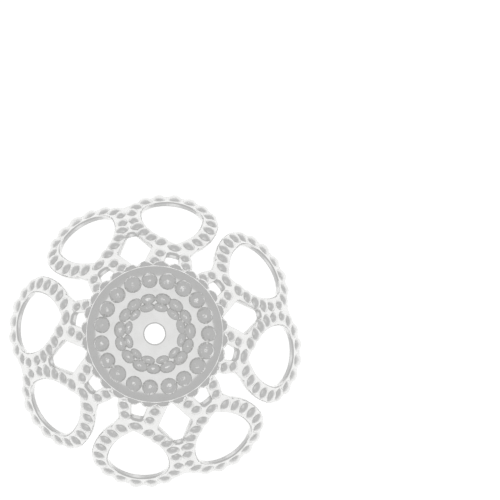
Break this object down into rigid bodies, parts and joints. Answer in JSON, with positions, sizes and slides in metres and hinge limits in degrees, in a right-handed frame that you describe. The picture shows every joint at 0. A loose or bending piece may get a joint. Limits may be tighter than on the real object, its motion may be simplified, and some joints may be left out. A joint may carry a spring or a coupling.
{
  "type": "filigree bead cap",
  "caption": "Pressed filigree bead cap: a round beaded crown with a threading hole over a flared openwork skirt of pointed petals.",
  "frame": {"origin": "on the cap's axis, in the plane that the petal tips rest on", "axes": "+Z along the threading axis from the petal tips to the crown; +X and +Y point between the two petals of a pair"},
  "size_m": [0.0242, 0.0242, 0.0168],
  "materials": {
    "silver_plate": "bright silver plate on pressed brass"
  },
  "bodies": {
    "root": {"bead_cap": "silver_plate"}
  },
  "joints": []
}
